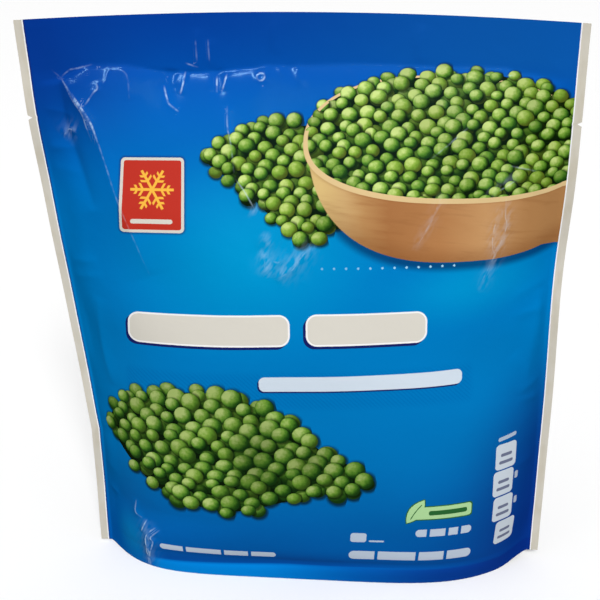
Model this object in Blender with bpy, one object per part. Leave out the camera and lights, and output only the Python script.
"""A stand-up pouch of frozen peas: one sealed pack that stands on its own bottom gusset.

The pack is welded from three webs of film.  A front web and a back web meet in flat side seals
and in a flat header at the top, and a folded gusset spreads between them at the foot.  The peas
fill the lower part and air plumps the rest, so the belly is fullest just above the foot, the side
edges draw in where the belly is full, and the film falls away sharply under the header.

The solid is the outer form of the shut pack.  It is one closed skin, made of the front web, the
back web and the gusset, sewn together along their shared edges.

Frame: metres, +Z up, front towards -Y, origin on the surface it stands on, in the middle of the
pack's width and depth.
"""

import math

import bmesh
import bpy

# ---- driving dimensions ---------------------------------------------------------------------
POUCH_WIDTH = 0.217  # flat width of the film, 8.5 inches, kept at the header
POUCH_HEIGHT = 0.235  # from the foot to the middle of the top edge
BELLY_DEPTH = 0.028  # how far each web stands out at the fullest height
FOOT_DEPTH = 0.0240  # how far the foot's edge stands out, front and back
DRAWN_IN = 0.0085  # how much each side edge is pulled in by the full belly
LEAN = 0.0085  # the foot stands this far to the right of the header's middle
KNEE_HEIGHT = 0.058  # above this the side edges run out towards the header,
STEEPENING = 1.3  # and grow steeper on the way; at 1 they would be straight

WAIST = 0.0012  # the right side edge is pinched in by this much,
WAIST_HEIGHT = 0.124  # at this height,
WAIST_SPREAD = 0.030  # and above and below it over this length

SIDE_SEAL = 0.005  # width of the flat seal down each side
SEAL_THICKNESS = 0.0008  # two webs welded together, made a little thick so that they are solid
HEADER_HEIGHT = 0.020  # flat band above the contents, at the top
SKIRT_HEIGHT = 0.009  # seal between each web and the gusset, which stands on edge
BELLY_HEIGHT = 0.045  # height at which the pack is fullest
SHOULDER = 0.7  # how the belly thins towards the header; at 1 it would be a parabola
CORNER_DROP_LEFT = 0.0032  # the top edge is lower at its two corners
CORNER_DROP_RIGHT = 0.0036
HEADER_BOW = 0.003  # the header's middle stands behind its two ends
HEADER_REACH = (0.094, POUCH_HEIGHT)  # between these heights the drop and the bow grow to their full size
SEAL_LIFT_LEFT = 0.0003  # the side seals end a little above the floor
SEAL_LIFT_RIGHT = 0.003
LIFT_REACH = (0.84, 1.0)  # share of the half width over which the foot rises to the seal
LIFT_HEIGHT = 0.035  # height up to which the lift is felt

# The web's section is an arch |t|^n.  Its n is larger, and the arch squarer, in three zones.
ARCH = 3.0
UNDER_HEADER = (0.150, 0.200)
AT_BELLY = (BELLY_HEIGHT, 0.110)
AT_SKIRT = (SKIRT_HEIGHT, 0.030)
SQUARER_LEFT = 2.5  # how much n grows at the skirt, on the left and on the right
SQUARER_RIGHT = 0.4
SKIRT_SOFTNESS = 0.2  # the skirt swings softly into the side seals
FOOT_TURN = 0.05  # the foot stands turned, its right end forward, by this share of its depth
TURN_REACH = (SKIRT_HEIGHT, 0.070)  # and the turn dies away between these heights

NOTCH_HEIGHT = 0.1975  # tear notch in each side seal
NOTCH_DEPTH = 0.0022
NOTCH_HALF_WIDTH = 0.0011
NOTCH_CLEARANCE = 0.0026  # no other row of points comes closer to the notch's own rows

GROOVE_RISE = 0.005  # the gusset rises this much behind the skirt before it meets the floor
SKIRT_INNER = 0.95  # shares of the foot's depth: inner side of the skirt,
GROOVE_TOP = 0.84  # top of the groove behind it,
FLAT_PART = 0.62  # and edge of the flat part that rests on the floor
DEPTH_FOR_GROOVE = 0.012  # where the foot is shallower than this, the groove fades away

# ---- fineness of the facets -----------------------------------------------------------------
BODY_COLUMNS = 34
BODY_ROWS = 30
EDGE_CROWDING = 0.55  # 0 spaces the columns evenly, 1 crowds them towards the side seals

SMOOTH_BELOW = math.radians(50)  # edges bent more than this stay sharp

FILM_BLUE = (0.005, 0.14, 0.46, 1.0)
FILM_ROUGHNESS = 0.28


def ease(low, high, value):
    """0 below low, 1 above high, and a smooth step between them."""
    share = min(1.0, max(0.0, (value - low) / (high - low)))
    return share * share * (3 - 2 * share)


# ---- the form of the pack -------------------------------------------------------------------
def taken_in(height):
    """Share of the draw-in and the lean at this height: 1 up to the belly, 0 at the top edge."""
    below = min(1.0, (POUCH_HEIGHT - height) / (POUCH_HEIGHT - KNEE_HEIGHT))
    return below**STEEPENING


def half_width(height):
    """Half the distance between the two side edges."""
    return POUCH_WIDTH / 2 - DRAWN_IN * taken_in(height)


def middle(height):
    """Where the middle of the width is.  The foot has settled to one side."""
    return LEAN * taken_in(height)


def pinch(across, height):
    """How far the right side is pressed in, growing from the middle line to the edge."""
    share = min(1.0, max(0.0, across))
    return WAIST * share * math.exp(-(((height - WAIST_HEIGHT) / WAIST_SPREAD) ** 2))


def belly(height):
    """How far each web stands out in the middle of its width."""
    header_line = POUCH_HEIGHT - HEADER_HEIGHT
    if height >= header_line:
        return 0.0
    if height >= BELLY_HEIGHT:
        climbed = (height - BELLY_HEIGHT) / (header_line - BELLY_HEIGHT)
        return BELLY_DEPTH * (1 - climbed**2) ** SHOULDER
    if height >= SKIRT_HEIGHT:
        dropped = (BELLY_HEIGHT - height) / (BELLY_HEIGHT - SKIRT_HEIGHT)
        return BELLY_DEPTH - (BELLY_DEPTH - FOOT_DEPTH) * dropped**2
    return FOOT_DEPTH


def section(across, height):
    """The web's depth, as a share of the belly, at -1 to 1 across the width.

    Halfway up the web is a plain arch.  Under the header and near the foot it is flat in front
    with quick round sides, and in the skirt it swings softly into the side seals.
    """
    near_header = ease(*UNDER_HEADER, height)
    near_belly = 1 - ease(*AT_BELLY, height)
    near_skirt = 1 - ease(*AT_SKIRT, height)
    squarer = SQUARER_LEFT if across < 0 else SQUARER_RIGHT
    fullness = ARCH + near_header + near_belly + squarer * near_skirt
    softness = 1 + SKIRT_SOFTNESS * near_skirt
    return (1 - abs(across) ** fullness) ** softness


def notch(height):
    """How deep the tear notch cuts into the side edge at this height."""
    return NOTCH_DEPTH * max(0.0, 1 - abs(height - NOTCH_HEIGHT) / NOTCH_HALF_WIDTH)


def web_point(across, height, side):
    """A point on the front web (side -1) or the back web (side 1).

    across runs from -1 to 1 between the inner lines of the side seals, and is -2 or 2 on the
    side edges themselves.
    """
    on_edge = abs(across) > 1
    inner_half = half_width(height) - SIDE_SEAL
    if on_edge:
        offset = math.copysign(half_width(height) - notch(height), across)
        depth = 0.0
    else:
        offset = inner_half * across
        turn = FOOT_TURN * (1 - ease(*TURN_REACH, height))
        depth = belly(height) * section(across, height) * (1 - side * turn * across)
    x = middle(height) + offset - pinch(across, height)
    out = 2 * x / POUCH_WIDTH
    up = ease(*HEADER_REACH, height)
    drop = CORNER_DROP_LEFT if x < 0 else CORNER_DROP_RIGHT
    lift = SEAL_LIFT_LEFT if x < 0 else SEAL_LIFT_RIGHT
    lifted = ease(*LIFT_REACH, abs(across)) * (1 - ease(0, LIFT_HEIGHT, height))
    y = side * (SEAL_THICKNESS / 2 + depth) - HEADER_BOW * up * (out**2 - 0.5)
    return (x, y, height - drop * up * out**2 + lift * lifted)


# ---- the lines of points that the webs are strung on ------------------------------------------
def column_places():
    """Places across the width: the side edges, the seal lines and the body, crowded at its ends."""
    body = []
    for step in range(BODY_COLUMNS + 1):
        even = 2 * step / BODY_COLUMNS - 1
        crowded = math.sin(even * math.pi / 2)
        body.append(even + (crowded - even) * EDGE_CROWDING)
    return [-2.0, *body, 2.0]


def row_heights():
    """Heights of the rows: skirt, body, the three points of the notch, header."""
    header_line = POUCH_HEIGHT - HEADER_HEIGHT
    rows = {0.0, SKIRT_HEIGHT / 2, SKIRT_HEIGHT, POUCH_HEIGHT}
    for step in range(1, BODY_ROWS + 1):
        climbed = math.sin(step / BODY_ROWS * math.pi / 2)
        rows.add(SKIRT_HEIGHT + (header_line - SKIRT_HEIGHT) * climbed)
    notch_rows = [NOTCH_HEIGHT + NOTCH_HALF_WIDTH * share for share in (-1, 0, 1)]
    clear_of_notch = [row for row in rows if abs(row - NOTCH_HEIGHT) > NOTCH_CLEARANCE]
    return sorted([*clear_of_notch, *notch_rows])


def groove(share, depth):
    """Height of the gusset under the pack, at a share of the way out from the middle line."""
    rise = GROOVE_RISE * min(1.0, depth / DEPTH_FOR_GROOVE)
    outside = ease(FLAT_PART, GROOVE_TOP, share)
    inside = 1 - ease(GROOVE_TOP, SKIRT_INNER, share)
    return rise * outside * inside


def sew(mesh, line_a, line_b):
    """Faces between two lines of vertices of equal length."""
    for a0, a1, b0, b1 in zip(line_a, line_a[1:], line_b, line_b[1:]):
        corners = []
        for vertex in (a0, a1, b1, b0):
            if vertex not in corners:
                corners.append(vertex)
        if len(corners) > 2:
            mesh.faces.new(corners)


def make_web(mesh, columns, rows, side):
    """One web as a list of its rows, from the foot to the top edge, with its faces."""
    strung = [[mesh.verts.new(web_point(place, row, side)) for place in columns] for row in rows]
    for lower, upper in zip(strung, strung[1:]):
        sew(mesh, lower, upper)
    return strung


def make_gusset(mesh, front_foot, back_foot):
    """The underside, strung from the front web's lowest row to the back web's."""
    shares = (SKIRT_INNER, GROOVE_TOP, (GROOVE_TOP + FLAT_PART) / 2, FLAT_PART, FLAT_PART / 2)
    places = [-share for share in shares] + [0.0] + list(reversed(shares))
    lines = [front_foot]
    for place in places:
        line = [front_foot[0]]
        for front, back in zip(front_foot[1:-1], back_foot[1:-1]):
            half_depth = (back.co.y - front.co.y) / 2
            centre = (back.co.y + front.co.y) / 2
            y = centre + place * half_depth
            z = front.co.z + groove(abs(place), half_depth)
            line.append(mesh.verts.new((front.co.x, y, z)))
        lines.append([*line, front_foot[-1]])
    lines.append(back_foot)
    # The side seals are closed by one face each, from the front line to the back line.
    for line_a, line_b in zip(lines, lines[1:]):
        sew(mesh, line_a[1:-1], line_b[1:-1])
    for end, beside in ((0, 1), (-1, -2)):
        inner = [line[beside] for line in lines]
        mesh.faces.new([front_foot[end], *inner, back_foot[end]])


def film_material():
    """Glossy blue printed film."""
    material = bpy.data.materials.new("printed_film")
    material.use_nodes = True
    shader = material.node_tree.nodes["Principled BSDF"]
    shader.inputs["Base Color"].default_value = FILM_BLUE
    shader.inputs["Roughness"].default_value = FILM_ROUGHNESS
    shader.inputs["Metallic"].default_value = 0.0
    return material


def make_pouch():
    """The whole pack as one closed skin."""
    mesh = bmesh.new()
    columns = column_places()
    rows = row_heights()
    front = make_web(mesh, columns, rows, side=-1)
    back = make_web(mesh, columns, rows, side=1)
    for end in (0, -1):
        sew(mesh, [row[end] for row in front], [row[end] for row in back])
    sew(mesh, front[-1], back[-1])
    make_gusset(mesh, front[0], back[0])
    bmesh.ops.recalc_face_normals(mesh, faces=mesh.faces)
    bmesh.ops.triangulate(mesh, faces=mesh.faces)

    data = bpy.data.meshes.new("pouch")
    mesh.to_mesh(data)
    mesh.free()
    data.shade_smooth()
    data.set_sharp_from_angle(angle=SMOOTH_BELOW)
    data.materials.append(film_material())
    pouch = bpy.data.objects.new("pouch", data)
    bpy.context.scene.collection.objects.link(pouch)
    return pouch


for leftover in list(bpy.data.objects):
    bpy.data.objects.remove(leftover)
make_pouch()
